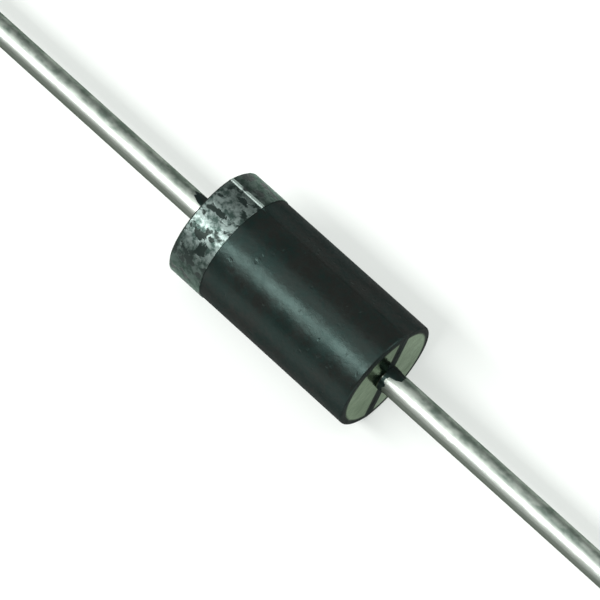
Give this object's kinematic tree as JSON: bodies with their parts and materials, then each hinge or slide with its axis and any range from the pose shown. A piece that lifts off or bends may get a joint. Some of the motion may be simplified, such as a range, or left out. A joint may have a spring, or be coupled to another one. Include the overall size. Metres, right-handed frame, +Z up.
{
  "type": "axial rectifier diode",
  "caption": "Axial-leaded rectifier diode: black moulded resin cylinder with a worn silver cathode band and a straight tinned wire lead out of each end.",
  "frame": {"origin": "middle of the moulded body, on the axis of both leads", "axes": "+X along the leads from the banded cathode end to the anode end, +Z up as the diode lies in the picture, +Y completes the right-handed frame"},
  "size_m": [0.0588, 0.0036, 0.0036],
  "materials": {
    "body_resin": "semi-gloss moulded black epoxy",
    "band_ink": "worn silver-grey printing ink",
    "tinned_wire": "bright tinned copper wire with fine drawing lines",
    "silicon": "polished silicon",
    "solder": "dull reflowed solder",
    "silicone": "soft translucent silicone"
  },
  "bodies": {
    "root": {"moulded_body": "body_resin", "cathode_band": "band_ink", "cathode_lead": "tinned_wire", "anode_lead": "tinned_wire", "silicon_die": "silicon", "cathode_solder": "solder", "anode_solder": "solder", "silicone_collar": "silicone"}
  },
  "joints": []
}
